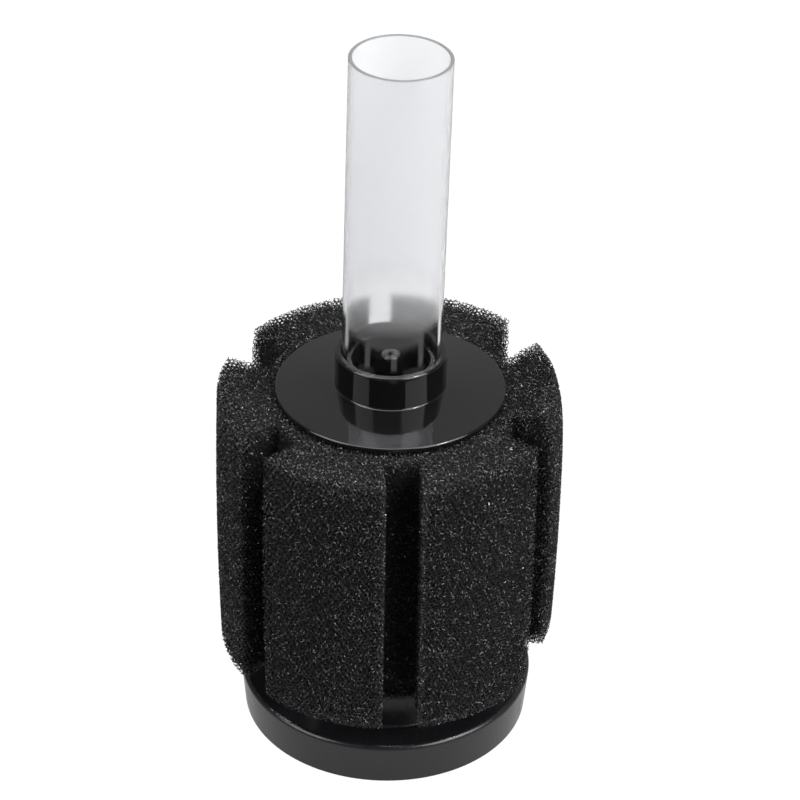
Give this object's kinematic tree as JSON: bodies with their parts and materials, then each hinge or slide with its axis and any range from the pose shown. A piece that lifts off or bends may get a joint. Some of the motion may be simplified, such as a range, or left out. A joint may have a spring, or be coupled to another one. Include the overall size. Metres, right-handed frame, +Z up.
{
  "type": "sponge filter",
  "caption": "Air-driven aquarium sponge filter: weighted round base, black finned foam sleeve, glossy top plate with a collar, and a clear straight riser tube.",
  "frame": {"origin": "centre of the base's underside, on the common axis of all pieces", "axes": "+Z up along the riser tube's axis; -Y faces the slot between the two front fins of the sponge"},
  "size_m": [0.0704, 0.07, 0.1514],
  "materials": {
    "base_plastic": "satin",
    "cap_plastic": "gloss",
    "inner_plastic": "satin",
    "foam": "matte",
    "clear_plastic": "gloss",
    "ballast_iron": "matte",
    "diffuser_stone": "matte"
  },
  "bodies": {
    "base": {"base_housing": "base_plastic", "base_plate": "base_plastic", "ballast_ring": "ballast_iron"},
    "strainer": {"strainer_tube": "inner_plastic"},
    "sponge": {"sponge": "foam"},
    "cap": {"top_plate": "cap_plastic", "air_nozzle": "cap_plastic", "air_pipe": "inner_plastic", "air_diffuser": "diffuser_stone"},
    "riser": {"riser_tube": "clear_plastic"}
  },
  "joints": [
    {"name": "strainer_pull", "type": "slide", "parent": "base", "child": "strainer", "axis": [0, 0, 1], "range_m": [0, 0.02]},
    {"name": "sponge_pull", "type": "slide", "parent": "strainer", "child": "sponge", "axis": [0, 0, 1], "range_m": [0, 0.065]},
    {"name": "cap_pull", "type": "slide", "parent": "sponge", "child": "cap", "axis": [0, 0, 1], "range_m": [0, 0.06]},
    {"name": "riser_pull", "type": "slide", "parent": "cap", "child": "riser", "axis": [0, 0, 1], "range_m": [0, 0.02]}
  ]
}
